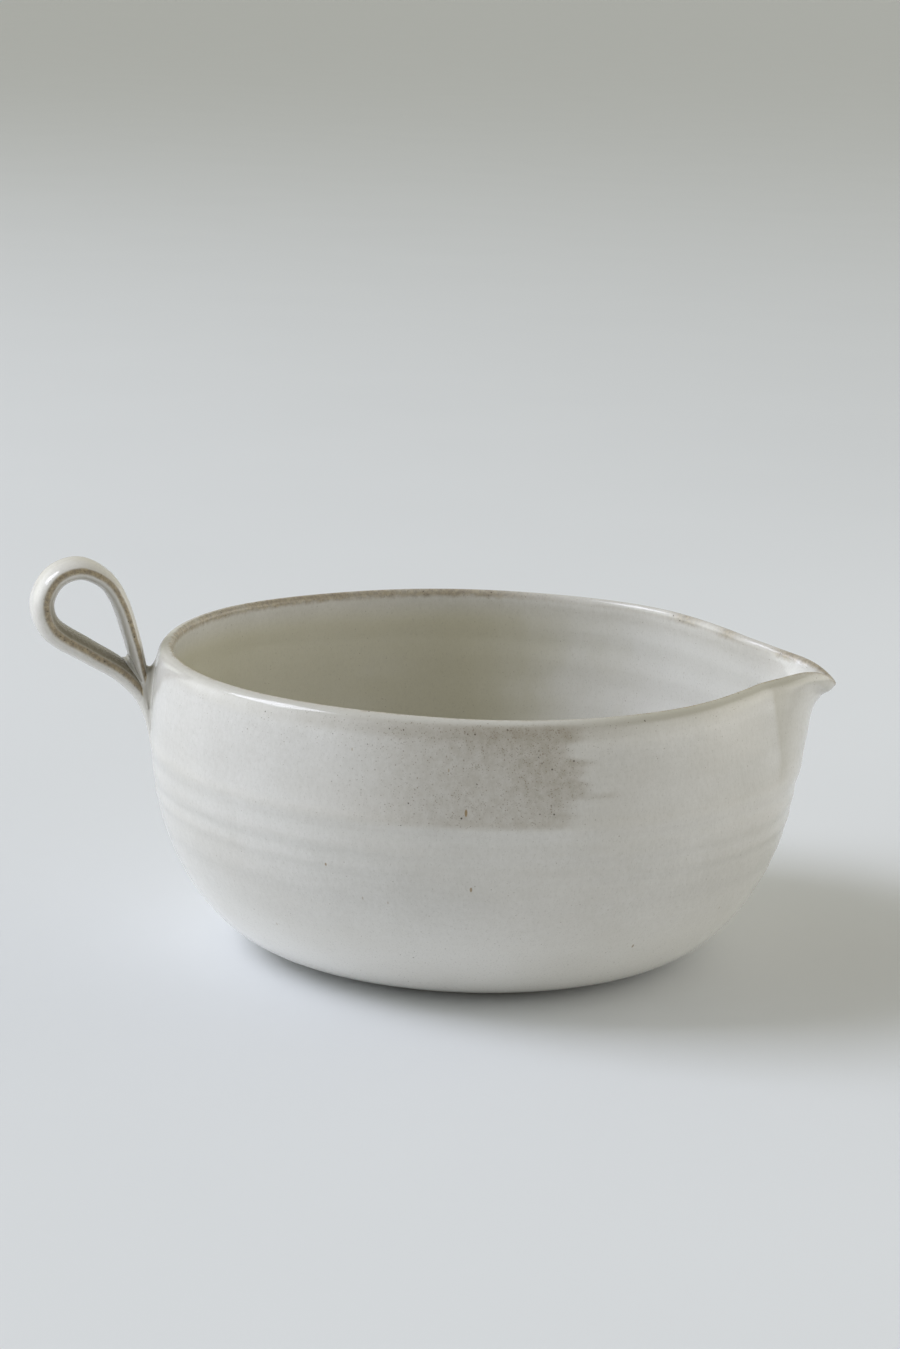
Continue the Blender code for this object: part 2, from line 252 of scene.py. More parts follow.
def bowl_profile():
    """The section from the middle of the inside, over the lip, to the middle of
    the base: radius, height, run from the crest (plus outside, minus inside)."""
    floor_r, floor_z = INNER[-1]
    stations = [(0.0, FLOOR), (0.25 * floor_r, FLOOR + 0.02), (0.5 * floor_r, FLOOR + 0.1),
                (0.82 * floor_r, FLOOR + 0.35 * (floor_z - FLOOR))]
    stations += [tuple(p) for p in INNER[::-1]]
    stations += [(88.95, RIM_HEIGHT - 2.6), (89.08, RIM_HEIGHT - 1.15), (89.62, RIM_HEIGHT - 0.3)]
    stations += OUTER_SIDE
    line = spline(stations, 6000)
    base = np.linspace(BASE_R, 0.0, 500)[1:]
    hollow = 0.35 * (1.0 - smooth(40.0, 49.0, base))
    grooves = 0.10 * (1.0 - np.cos(2 * np.pi * base / 3.4)) * (1.0 - smooth(38.0, 47.0, base))
    line = np.vstack([line, np.stack([base, hollow + grooves], 1)])
    step = np.hypot(*np.diff(line, axis=0).T)
    run = np.r_[0.0, np.cumsum(step)]
    crest = run[np.argmax(line[:, 1])]
    # more points on the lip and the upper wall than on the floor and base
    mid = 0.5 * (run[1:] + run[:-1]) - crest
    dense = 0.75 + 2.6 * bell(mid, 0.0, 5.0) + 0.45 * (np.abs(mid) < 62.0) - 0.3 * (np.abs(mid) > 120.0)
    weight = np.r_[0.0, np.cumsum(step * dense)]
    at = np.interp(np.linspace(0.0, weight[-1], 400), weight, run)
    r = np.interp(at, run, line[:, 0])
    z = np.interp(at, run, line[:, 1])
    return r, z, at - crest


def make_bowl():
    r, z, run = bowl_profile()
    dr, dz = np.gradient(r), np.gradient(z)
    size = np.hypot(dr, dz)
    nr, nz = -dz / size, dr / size      # points out of the clay
    count = len(r)
    inside = run < 0
    under = (~inside) & (z < 0.9) & (r < BASE_R + 3.0)
    phi = 2 * np.pi * (np.arange(AROUND) + 0.5) / AROUND
    P, R = np.meshgrid(phi, r, indexing="xy")
    _, Z = np.meshgrid(phi, z, indexing="xy")
    _, S = np.meshgrid(phi, run, indexing="xy")
    lift = np.where(inside[:, None], rings(RINGS_IN, Z, P, 0.9), rings(RINGS_OUT, Z, P, 2.2))
    lift = np.where(under[:, None], 0.0, lift)
    lift *= smooth(0.5, 7.0, np.abs(S))
    # the lip is a little uneven in thickness, and the wall a little out of round
    lift += 0.14 * bell(S, 0.0, 3.0) * (np.sin(3 * P + 0.6) + 0.6 * np.sin(7 * P + 2.0))
    # the inner floor carries the last turn of the finger as a faint spiral
    flat = (run < 0) & (r < 62.0)
    swirl = 0.10 * np.sin(2 * np.pi * R / 8.5 - P) * smooth(4.0, 12.0, R) * (1.0 - smooth(48.0, 62.0, R))
    lift += np.where(flat[:, None], swirl, 0.0)
    R2 = R + lift * nr[:, None]
    Z2 = Z + lift * nz[:, None]
    high = smooth(10.0, 60.0, Z)
    R2 = R2 * (1.0 + 0.0016 * np.sin(2 * P + 0.9) * high + 0.0007 * np.sin(3 * P + 2.0) * high)
    Z2 = Z2 + 0.22 * smooth(60.0, RIM_HEIGHT, Z) * (np.sin(2 * P + 1.1) + 0.5 * np.sin(5 * P))
    Z2 = np.maximum(Z2, 0.0)
    verts = np.stack([R2 * np.cos(P), R2 * np.sin(P), Z2], -1).reshape(-1, 3)
    verts = pull_spout(verts)
    # the two rings on the axis become single points
    verts = verts[AROUND:-AROUND]
    S, Z, R, P, L = (a.reshape(-1)[AROUND:-AROUND] for a in (S, Z, R, P, lift))
    rows = count - 2
    faces = []
    nxt = np.r_[1:AROUND, 0]
    a = np.arange(AROUND)
    for i in range(rows - 1):
        lo, hi = i * AROUND, (i + 1) * AROUND
        faces += np.stack([lo + a, hi + a, hi + nxt, lo + nxt], 1).tolist()
    top, low = len(verts), len(verts) + 1
    verts = np.vstack([verts, [[0.0, 0.0, z[0]], [0.0, 0.0, z[-1]]]])
    last = (rows - 1) * AROUND
    faces += [[top, k, n] for k, n in zip(a.tolist(), nxt.tolist())]
    faces += [[low, last + n, last + k] for k, n in zip(a.tolist(), nxt.tolist())]
    ends = lambda v, x, y: np.r_[v, x, y]
    crest = ends(S, run[0], run[-1])
    unglazed = ends((1.0 - smooth(BASE_R + 4.0, BASE_R + 5.2, R + 0.5 * np.sin(5 * P) + 0.3 * np.sin(11 * P + 1)))
                    * (S > 0) * (Z < 8.0), 0.0, 1.0)
    ring = ends(L, 0.0, 0.0)
    # a patch under the near lip where the glaze lies thin over the iron-rich clay
    turn = np.degrees(P)
    ragged = 1.3 * np.sin(0.33 * Z) + 0.8 * np.sin(0.87 * Z + 1.0) + 0.5 * np.sin(2.1 * Z)
    right = 1.0 - smooth(284.5, 289.0, turn + ragged)
    stain = 0.78 * smooth(242.0, 272.0, turn) * right * smooth(57.8, 59.8, Z)
    stain += 0.40 * smooth(266.0, 278.0, turn) * right * smooth(77.0, 83.5, Z)
    stain += 0.34 * smooth(274.0, 281.0, turn) * right * smooth(63.0, 70.0, Z) * (1.0 - smooth(76.0, 82.0, Z))
    # two smears beside it where a finger drew the glaze sideways
    for height, until in ((76.6, 291.5), (67.2, 296.0)):
        stain += 0.55 * bell(Z, height, 0.8) * smooth(282.0, 287.0, turn) * (1.0 - smooth(until - 4.0, until, turn))
    stain = np.clip(stain, 0.0, 1.0) * smooth(1.5, 4.0, S)
    stain = ends(stain, 0.0, 0.0)
    # the lip is rubbed less on the far side of the spout, and is olive on its near side
    rubbed = 1.0 - 0.8 * smooth(6.0, 16.0, turn) * (1.0 - smooth(70.0, 95.0, turn))
    for middle, width in ((9.0, 4.0), (27.0, 3.0), (41.0, 4.0)):
        rubbed = rubbed + 0.6 * bell(turn, middle, width)
    rubbed = np.minimum(rubbed, 1.0)
    # most of the pepper lies under the near lip, with less of it on the far side
    dusty = 0.12 + 0.88 * smooth(215.0, 245.0, turn) * (1.0 - smooth(284.0, 300.0, turn))
    dusty += 0.45 * smooth(70.0, 95.0, turn) * (1.0 - smooth(120.0, 150.0, turn))
    olive_lip_and_crease_shade = smooth(280.0, 310.0, turn) * (1.0 - smooth(344.0, 354.0, turn)) * bell(S, 0.6, 3.4)
    # painted shade in the crease on either side of the spout, darkest just past it, where glaze also pools
    inside = crease_angle(Z) - np.minimum(turn, 360.0 - turn)
    crease_shade_and_pool = smooth(-0.6, 0.9, inside) * np.exp(-np.maximum(inside, 0.0) / 6.5) * smooth(56.0, 66.0, Z)
    crease_shade_and_pool *= (0.60 + 0.30 * smooth(74.0, 84.0, Z)) * smooth(1.5, 4.0, S)
    olive_lip_and_crease_shade = np.maximum(olive_lip_and_crease_shade, crease_shade_and_pool)
    return new_mesh("bowl_thrown", verts, faces, {
        "stain": stain,
        "rubbed": ends(rubbed, 1.0, 1.0),
        "olive_lip_and_crease_shade": ends(olive_lip_and_crease_shade, 0.0, 0.0),
        "dusty": ends(dusty, 0.0, 0.0),
        "crest": np.clip(crest, -60.0, 60.0) / 60.0,
        "unglazed": unglazed,
        "ring": ring,
        "edge": np.zeros(len(verts)),
        "pooled_glaze_and_shade": np.zeros(len(verts)),
    })


bowl = make_bowl()

# ------------------------------------------------------------------ the strap
OUT_DIR = np.array([-math.cos(LOOP_TURN), -math.sin(LOOP_TURN), 0.0])


def strap_frames(count):
    """Centre, tangent, width direction, thickness direction and half thickness."""
    line = spline(STRAP, count)
    centre = (np.array([-STRAP_ROOT_R, 0.0, 0.0]) + OUT_DIR * line[:, :1]
              + np.array([0.0, 0.0, 1.0]) * line[:, 1:2])
    tangent = np.gradient(centre, axis=0)
    tangent /= np.linalg.norm(tangent, axis=1)[:, None]
    turn = LOOP_TURN * smooth(-1.0, 4.0, line[:, 0])
    wide = np.stack([-np.sin(turn), np.cos(turn), np.zeros(count)], 1)
    wide -= tangent * (wide * tangent).sum(1)[:, None]
    wide /= np.linalg.norm(wide, axis=1)[:, None]
    return centre, tangent, wide, np.cross(tangent, wide), line[:, 2]


def strap_half_width(k):
    """The pulled strap is a little uneven, and its smeared tail a little broader."""
    return STRAP_HALF_WIDTH * (1.0 + 0.02 * np.sin(9 * k + 0.5) + 0.012 * np.sin(23 * k))


def strap_half_thickness(half, k, across):
    """A little uneven too, with one shallow finger groove along the broad faces."""
    return half * (1.0 + 0.03 * np.sin(14 * k + 1.0)) * (1.0 - 0.05 * bell(across, 0.0, 0.35))


def strap_worn(t, k):
    """One on the line along either edge where the strap is worn, less beside it."""
    lean = STRAP_EDGE_LEAN[0] + (STRAP_EDGE_LEAN[1] - STRAP_EDGE_LEAN[0]) * smooth(0.44, 0.60, k)
    return np.clip(np.maximum(np.cos(t - lean), np.cos(t - np.pi + lean)), 0.0, 1.0)


def make_strap():
    rings_n, sides = 300, 56
    centre, tangent, wide, thick, half = strap_frames(rings_n)
    k = np.linspace(0.0, 1.0, rings_n)
    t = 2 * np.pi * np.arange(sides) / sides
    c, s = np.cos(t), np.sin(t)
    # an oval that is a little fuller than an ellipse on its broad faces
    cw = np.sign(c) * np.abs(c) ** STRAP_FULLNESS
    sw = np.sign(s) * np.abs(s) ** STRAP_FULLNESS
    w = strap_half_width(k)[:, None]
    a = strap_half_thickness(half[:, None], k[:, None], cw[None, :])
    verts = (centre[:, None, :] + wide[:, None, :] * (w * cw)[:, :, None]
             + thick[:, None, :] * (a * sw)[:, :, None])
    edge = strap_worn(t[None, :], k[:, None])
    # painted shade on the inner face of the loop, where the loop shades itself, greyest on the lower leg; glaze also
    # pools there
    inner_face_shade = smooth(0.05, 0.55, -s)[None, :] * (0.95 - 0.57 * smooth(0.40, 0.56, k))[:, None]
    faces = []
    n = np.r_[1:sides, 0]
    i = np.arange(sides)
    for row in range(rings_n - 1):
        lo, hi = row * sides, (row + 1) * sides
        faces += np.stack([lo + i, lo + n, hi + n, hi + i], 1).tolist()
    verts = verts.reshape(-1, 3)
    first, last = len(verts), len(verts) + 1
    verts = np.vstack([verts, centre[0], centre[-1]])
    faces += [[first, int(q), int(p)] for p, q in zip(i, n)]
    end = (rings_n - 1) * sides
    faces += [[last, int(end + p), int(end + q)] for p, q in zip(i, n)]
    edge = np.r_[edge.reshape(-1), 0.0, 0.0]
    inner_face_shade = np.r_[inner_face_shade.reshape(-1), 0.0, 0.0]
    zero = np.zeros(len(verts))
    return new_mesh("handle_strap", verts, faces, {
        "crest": zero + 1.0, "unglazed": zero, "ring": zero, "edge": edge, "pooled_glaze_and_shade": inner_face_shade,
        "stain": zero, "rubbed": zero, "olive_lip_and_crease_shade": zero, "dusty": zero})


handle = make_strap()


# ------------------------------------------------------------------ the slip
def smin(a, b, k):
    h = np.clip(0.5 + 0.5 * (b - a) / k, 0.0, 1.0)
    return b + (a - b) * h - k * h * (1.0 - h)


def strap_distance(p, pick):
    """Distance from one leg of the strap, and how near a point is to its worn line."""
    centre, tangent, wide, thick, half = strap_frames(160)
    w = strap_half_width(np.linspace(0.0, 1.0, 160))
    best = np.full(len(p), 1e9)
    out = np.full(len(p), 1e9)
    worn = np.zeros(len(p))
    power = 2.0 / STRAP_FULLNESS
    for i in range(160):
        k = i / 159.0
        if not pick(k):
            continue
        d = p - centre[i]
        along = d @ tangent[i]
        near = np.hypot(along, d @ thick[i])
        q = np.flatnonzero(near < best)
        if not len(q):
            continue
        x, y, off = d[q] @ wide[i] / w[i], d[q] @ thick[i], np.abs(along[q])
        a = strap_half_thickness(half[i], k, x)
        x, y = np.abs(x) + 1e-6, y / a
        side, y = np.sign(y), np.abs(y) + 1e-6
        level = (x ** power + y ** power) ** (1.0 / power)
        slope = level ** (1.0 - power) * np.hypot(x ** (power - 1.0) / w[i], y ** (power - 1.0) / a)
        dist = (level - 1.0) / slope
        dist = np.where(off > 1.0, np.hypot(np.maximum(dist, 0.0), off - 1.0), dist)
        best[q], out[q] = near[q], dist
        t = np.arctan2(side * y ** (1.0 / STRAP_FULLNESS), x ** (1.0 / STRAP_FULLNESS))
        worn[q] = strap_worn(t, k) * (1.0 - smooth(0.4, 1.3, dist))
    return out, worn


def surface_nets(field, origin, step):
    """A closed mesh on the zero level of a field sampled on a grid."""
    neg = field < 0
    nx, ny, nz = (n - 1 for n in field.shape)
    corner = [(i, j, k) for i in (0, 1) for j in (0, 1) for k in (0, 1)]
    part = lambda a, c: a[c[0]:c[0] + nx, c[1]:c[1] + ny, c[2]:c[2] + nz]
    total = sum(part(neg, c).astype(int) for c in corner)
    active = (total > 0) & (total < 8)
    index = np.full(active.shape, -1)
    index[active] = np.arange(active.sum())
    cells = np.argwhere(active)
    place = np.zeros((len(cells), 3))
    hits = np.zeros(len(cells))
    for axis in range(3):
        for c in corner:
            if c[axis]:
                continue
            e = list(c)
            e[axis] = 1
            fa = part(field, c)[active]
            fb = part(field, tuple(e))[active]
            cross = (fa < 0) != (fb < 0)
            t = np.where(cross, fa / np.where(fa == fb, 1.0, fa - fb), 0.0)
            q = np.tile(np.array(c, float), (len(cells), 1))
            q[:, axis] = t
            place += np.where(cross[:, None], q, 0.0)
            hits += cross
    verts = origin + step * (cells + place / hits[:, None])
    faces = []
    for axis in range(3):
        u, v = (axis + 1) % 3, (axis + 2) % 3
        a = np.moveaxis(neg, (axis, u, v), (0, 1, 2))
        at = np.moveaxis(index, (axis, u, v), (0, 1, 2))
        lo, hi = a[:-1, 1:-1, 1:-1], a[1:, 1:-1, 1:-1]
        for i, j, k in np.argwhere(lo != hi):
            quad = [at[i, j, k], at[i, j + 1, k], at[i, j + 1, k + 1], at[i, j, k + 1]]
            faces.append([int(x) for x in (quad if lo[i, j, k] else quad[::-1])])
    return verts, faces


def filled(field):
    """Fill where cells touch only across a diagonal, so that the mesh on the zero
    level has two faces on every edge."""
    field = field.copy()
    for _ in range(60):
        neg = field < 0
        mark = np.zeros(field.shape, bool)
        for u, v in ((0, 1), (1, 2), (0, 2)):
            a = np.moveaxis(neg, (u, v), (0, 1))
            m = np.moveaxis(mark, (u, v), (0, 1))
            cross = (a[:-1, :-1] == a[1:, 1:]) & (a[1:, :-1] == a[:-1, 1:]) & (a[:-1, :-1] != a[1:, :-1])
            for part in (m[:-1, :-1], m[1:, 1:], m[1:, :-1], m[:-1, 1:]):
                part |= cross
        if not mark.any():
            break
        field[mark & ~neg] = -0.02
    return field


def make_slip():
    """The fillet of slip in the corners between the wall and the strap."""
    step = 0.28
    lo, hi = np.array([-110.0, -15.4, 54.0]), np.array([-91.0, 15.4, 87.5])
    n = np.ceil((hi - lo) / step).astype(int) + 1
    axes = [lo[k] + step * np.arange(n[k]) for k in range(3)]
    grid = np.stack(np.meshgrid(*axes, indexing="ij"), -1).reshape(-1, 3)
    lower, _ = strap_distance(grid, lambda k: k < 0.42)
    upper, _ = strap_distance(grid, lambda k: k > 0.55)
    wall = np.hypot(grid[:, 0], grid[:, 1]) - outer_r(grid[:, 2])
    pad = wall - 3.6 * bell(grid[:, 2], 73.8, 5.6) * np.exp(-(grid[:, 1] / 9.0) ** 4)
    # in the crotch it thins towards the strap's two edges, where it was wiped off
    across = np.abs((grid + [STRAP_ROOT_R, 0.0, 0.0]) @ [-math.sin(LOOP_TURN), math.cos(LOOP_TURN), 0.0])
    strap = smin(lower, upper, 3.2 - 1.9 * smooth(4.0, 7.6, across))
    joined = smin(strap, pad, 3.0)
    clay = np.minimum(np.minimum(lower, upper), wall)
    # only where it fills a corner: at its edges it dives under the clay on both sides
    body = joined + 0.03 + 0.9 * smooth(0.24, 0.02, clay - joined)
    body = body + 0.9 * smooth(84.5, 86.5, grid[:, 2]) + 0.9 * smooth(58.0, 55.5, grid[:, 2])
    body = body + 0.9 * smooth(8.4, 10.8, np.abs(grid[:, 1])) * smooth(67.0, 62.0, grid[:, 2])
    body = np.maximum(body, -(clay + 0.75))
    verts, faces = surface_nets(filled(body.reshape(n)), lo, step)
    # keep the one fillet, not stray crumbs
    parent = np.arange(len(verts))

    def root(x):
        while parent[x] != x:
            parent[x] = parent[parent[x]]
            x = parent[x]
        return x

    for f in faces:
        r0 = root(f[0])
        for x in f[1:]:
            parent[root(x)] = r0
    roots = np.array([root(x) for x in range(len(verts))])
    names, counts = np.unique(roots, return_counts=True)
    keep = roots == names[np.argmax(counts)]
    new = np.cumsum(keep) - 1
    faces = [[int(new[x]) for x in f] for f in faces if keep[f[0]]]
    verts = verts[keep]
    lower, worn_low = strap_distance(verts, lambda k: k < 0.42)
    upper, worn_up = strap_distance(verts, lambda k: k > 0.55)
    near = np.minimum(np.minimum(lower, upper), np.hypot(verts[:, 0], verts[:, 1]) - outer_r(verts[:, 2]))
    zero = np.zeros(len(verts))
    # the crotch darkens where the fill lies deepest: painted shade, with glaze pooled there too
    return new_mesh("handle_luting_slip", verts, faces, {
        "crest": zero + 1.0, "unglazed": zero, "ring": zero, "edge": np.maximum(worn_low, worn_up),
        "pooled_glaze_and_shade": 0.62 * smooth(-0.1, 0.9, near) * smooth(62.0, 71.0, verts[:, 2]), "stain": zero, "rubbed": zero, "olive_lip_and_crease_shade": zero, "dusty": zero})


slip = make_slip()


# ------------------------------------------------------------------ the glaze
class Graph:
    """Small helper that wires up a material's nodes."""

    def __init__(self, name):
        self.mat = bpy.data.materials.new(name)
        self.mat.use_nodes = True
        self.tree = self.mat.node_tree
        self.tree.nodes.clear()
        self.coord = self.node("ShaderNodeTexCoord").outputs["Object"]

    def node(self, kind, inputs=None, **props):
        n = self.tree.nodes.new(kind)
        for key, value in props.items():
            setattr(n, key, value)
        for key, value in (inputs or {}).items():
            self.put(n.inputs[key], value)
        return n

    def put(self, socket, value):
        if isinstance(value, bpy.types.NodeSocket):
            self.tree.links.new(value, socket)
        else:
            socket.default_value = value

    def math(self, op, a, b=0.0, c=0.0, clamp=False):
        n = self.node("ShaderNodeMath", operation=op, use_clamp=clamp)
        for k, v in enumerate((a, b, c)):
            self.put(n.inputs[k], v)
        return n.outputs[0]

    def step(self, value, low, high, start=0.0, end=1.0):
        n = self.node("ShaderNodeMapRange", {"Value": value, "From Min": low, "From Max": high,
                                             "To Min": start, "To Max": end},
                      interpolation_type="SMOOTHSTEP")
        return n.outputs["Result"]

    def mix(self, factor, a, b, blend="MIX"):
        n = self.node("ShaderNodeMix", data_type="RGBA", blend_type=blend)
        self.put(n.inputs[0], factor)
        self.put(n.inputs[6], a)
        self.put(n.inputs[7], b)
        return n.outputs[2]

    def scaled(self, scale):
        return self.node("ShaderNodeMapping", {"Vector": self.coord, "Scale": scale}).outputs[0]

    def noise(self, scale, detail=2.0, rough=0.5, shift=0.0):
        where = self.node("ShaderNodeMapping", {"Vector": self.coord, "Scale": scale,
                                                "Location": (shift, shift * 1.7, shift * 0.6)}).outputs[0]
        n = self.node("ShaderNodeTexNoise", {"Vector": where, "Scale": 1.0, "Detail": detail,
                                             "Roughness": rough}, noise_dimensions="3D")
        return n.outputs["Fac"]

    def specks(self, scale, radius, soft, chance):
        """Round spots: one in some of the cells of a Voronoi pattern."""
        n = self.node("ShaderNodeTexVoronoi", {"Vector": self.coord, "Scale": scale, "Randomness": 1.0},
                      feature="F1", voronoi_dimensions="3D")
        split = self.node("ShaderNodeSeparateColor", {"Color": n.outputs["Color"]})
        size = self.math("MULTIPLY_ADD", split.outputs["Green"], 0.8 * radius, 0.5 * radius)
        spot = self.math("DIVIDE", self.math("SUBTRACT", size, n.outputs["Distance"]), soft, clamp=True)
        there = self.math("LESS_THAN", split.outputs["Red"], chance)
        return self.math("MULTIPLY", spot, there)

    def attribute(self, name):
        return self.node("ShaderNodeAttribute", attribute_name=name, attribute_type="GEOMETRY").outputs["Fac"]


def rgb(r, g, b):
    return (r, g, b, 1.0)


# Drips of iron that melted through the glaze: turn round the bowl in degrees,
# height, half width, half length, strength.
DRIPS = [
    (269.0, 63.0, 0.42, 1.15, 0.95), (270.2, 41.0, 0.38, 0.75, 0.85), (245.2, 44.7, 0.34, 0.50, 0.80),
    (303.0, 19.8, 0.36, 0.60, 0.70), (266.0, 74.5, 0.26, 0.55, 0.55), (251.5, 36.0, 0.26, 0.50, 0.50),
    (256.0, 35.4, 0.24, 0.45, 0.45), (249.8, 78.0, 0.24, 0.50, 0.50), (324.0, 26.0, 0.34, 0.50, 0.40),
    (231.0, 21.5, 0.34, 0.50, 0.35), (112.0, 52.0, 0.40, 0.95, 0.85), (66.0, 38.0, 0.36, 0.70, 0.75),
    (141.0, 30.0, 0.34, 0.55, 0.60), (88.0, 69.0, 0.28, 0.55, 0.55),
]


def glaze(name, milk, shade, drips=()):
    g = Graph(name)
    run = g.math("MULTIPLY", g.attribute("crest"), 60.0)   # mm from the crest of the lip, plus outside
    unglazed = g.attribute("unglazed")
    edge = g.attribute("edge")
    pooled_glaze_and_shade = g.attribute("pooled_glaze_and_shade")
    ring = g.attribute("ring")
    stain = g.attribute("stain")

    # broad warm and cool clouds, a soft mottle, and the faint runs of a glaze that flowed down
    cloud = g.noise((34, 34, 26), 3.0, 0.55, 3.1)
    mottle = g.noise((900, 900, 620), 3.0, 0.62, 0.4)
    runs = g.noise((700, 700, 160), 2.0, 0.6, 1.3)
    turned = g.noise((90, 90, 900), 2.0, 0.6, 2.7)
    tone = g.math("ADD", g.math("MULTIPLY", g.step(mottle, 0.25, 0.75), 0.36),
                  g.math("MULTIPLY", g.step(runs, 0.28, 0.72), 0.09))
    tone = g.math("MULTIPLY_ADD", g.step(turned, 0.28, 0.72), 0.12, tone)
    tone = g.math("MULTIPLY_ADD", g.step(cloud, 0.30, 0.70), 0.43, tone)
    colour = g.mix(tone, shade, milk)
    # painted light: the outside wall is whitened towards the bottom, standing in for light bounced up from the floor
    height = g.node("ShaderNodeSeparateXYZ", {"Vector": g.coord}).outputs["Z"]
    low = g.math("MULTIPLY", g.step(height, 0.040, 0.008), g.math("GREATER_THAN", run, 0.0))
    colour = g.mix(g.math("MULTIPLY", low, 0.82), colour, rgb(0.868, 0.848, 0.805))
    warm = g.noise((22, 22, 40), 2.0, 0.5, 11.0)
    colour = g.mix(g.math("MULTIPLY", g.step(warm, 0.42, 0.70), 0.22), colour, rgb(0.640, 0.605, 0.545))
    # the glaze is thinner on the ridges of the throwing rings and milkier in the hollows
    colour = g.mix(g.math("MULTIPLY", g.step(ring, 0.04, 0.28), 0.12), colour, rgb(0.66, 0.62, 0.54))
    colour = g.mix(g.math("MULTIPLY", g.step(ring, -0.04, -0.22), 0.14), colour, rgb(0.74, 0.735, 0.70))

    # how thin the glaze lies: the inner side of the lip and the edges of the strap
    patch = g.noise((70, 70, 45), 2.0, 0.6, 5.0)
    fleck = g.noise((850, 850, 850), 4.0, 0.70, 9.0)
    ragged = g.math("MULTIPLY_ADD", g.noise((420, 420, 420), 3.0, 0.6, 7.0), 2.2, -1.1)
    inner_lip = g.step(g.math("ABSOLUTE", g.math("ADD", g.math("ADD", run, 1.3), ragged)), 2.4, 0.5)
    inner_lip = g.math("MULTIPLY", inner_lip, g.step(patch, 0.25, 0.60, 0.62, 0.95))
    inner_lip = g.math("MULTIPLY", inner_lip, g.attribute("rubbed"))
    worn = g.step(g.math("MULTIPLY_ADD", ragged, 0.010, edge), 0.948, 0.998)
    thin = g.math("MAXIMUM", g.math("MULTIPLY", inner_lip, 0.85), g.math("MULTIPLY", worn, 0.95), clamp=True)
    tan = g.mix(g.step(fleck, 0.33, 0.67), rgb(0.160, 0.110, 0.050), rgb(0.395, 0.306, 0.168))
    # painted shade: the rounded shoulder of the lip is darkened and greyed, toning down the light it catches
    lip_shoulder_painted_shade = g.step(g.math("ABSOLUTE", g.math("SUBTRACT", run, 2.1)), 2.2, 0.8)
    colour = g.mix(g.math("MULTIPLY", lip_shoulder_painted_shade, 0.60), colour, rgb(0.530, 0.510, 0.452))
    # the olive near lip, and painted shade in the crease beside the spout
    colour = g.mix(g.math("MULTIPLY", g.attribute("olive_lip_and_crease_shade"), 0.60), colour, rgb(0.405, 0.375, 0.275))
    # inside, painted shade towards the handle, where the inner wall faces away from the light, and painted light on
    # the spout side, which faces it
    inside = g.step(run, -3.0, -12.0)
    along = g.math("MULTIPLY_ADD", cloud, 0.05, g.node("ShaderNodeSeparateXYZ", {"Vector": g.coord}).outputs["X"])
    lit_spout_side = g.step(along, 0.015, 0.085)
    colour = g.mix(g.math("MULTIPLY", inside, g.step(lit_spout_side, 1.0, 0.0, 0.0, 0.60)), colour, rgb(0.558, 0.526, 0.365))
    colour = g.mix(g.math("MULTIPLY", inside, g.math("MULTIPLY", lit_spout_side, 0.54)), colour, rgb(0.805, 0.805, 0.795))
    colour = g.mix(g.math("MULTIPLY", thin, 0.90), colour, tan)
    # painted shade in the crotch of the slip and on the inner face of the loop, darker and olive, where glaze also
    # pools over the slip
    colour = g.mix(g.math("MULTIPLY", g.math("MULTIPLY", pooled_glaze_and_shade, g.math("SUBTRACT", 1.0, thin)), 0.96),
                   colour, rgb(0.235, 0.207, 0.145))

    # a grey-brown band of pepper just under the lip, and the thin patch on the near side
    band = g.step(g.math("ABSOLUTE", g.math("SUBTRACT", run, 5.2)), 3.2, 0.4)
    band = g.math("MULTIPLY", band, g.step(patch, 0.30, 0.66, 0.45, 1.0))
    band = g.math("MULTIPLY", band, g.math("MULTIPLY_ADD", g.attribute("dusty"), 0.30, 0.14))
    colour = g.mix(band, colour, rgb(0.380, 0.342, 0.275))
    blot = g.math("MULTIPLY", stain, g.step(g.noise((420, 420, 330), 6.0, 0.72, 12.0), 0.30, 0.68, 0.50, 1.0))
    colour = g.mix(g.math("MULTIPLY", blot, 0.65), colour, rgb(0.330, 0.280, 0.208))

    # iron specks: faint pepper all over, more of it under the lip, in the patch and on worn edges
    below = g.math("MULTIPLY", g.step(run, 15.0, 4.0), g.math("GREATER_THAN", run, 2.5))
    below = g.math("MULTIPLY", below, g.attribute("dusty"))
    chance = g.math("MULTIPLY_ADD", g.math("MULTIPLY", below, g.step(patch, 0.35, 0.68, 0.35, 1.0)), 0.24, 0.006)
    chance = g.math("MULTIPLY_ADD", blot, 0.46, chance)
    chance = g.math("MULTIPLY_ADD", thin, 0.30, chance)
    pepper = g.specks(2600.0, 0.46, 0.36, chance)
    pepper = g.math("MAXIMUM", pepper, g.specks(1480.0, 0.34, 0.27, g.math("MULTIPLY", chance, 0.55)))
    colour = g.mix(g.math("MULTIPLY", pepper, 0.58), colour, rgb(0.165, 0.115, 0.065))
    rusty = g.math("MULTIPLY_ADD", thin, 0.24, g.math("MULTIPLY", blot, 0.06))
    rusty = g.math("MULTIPLY_ADD", g.math("MULTIPLY", below, g.step(run, 9.0, 5.0)), 0.05, rusty)
    dark = g.specks(1050.0, 0.30, 0.20, rusty)
    colour = g.mix(g.math("MULTIPLY", dark, 0.85), colour, rgb(0.058, 0.042, 0.027))
    # fine grey grains deep in the glaze, drawn out downwards
    grains = g.noise((2300, 2300, 1300), 2.0, 0.6, 2.0)
    colour = g.mix(g.math("MULTIPLY", g.step(grains, 0.54, 0.78), 0.30), colour, rgb(0.36, 0.34, 0.29))

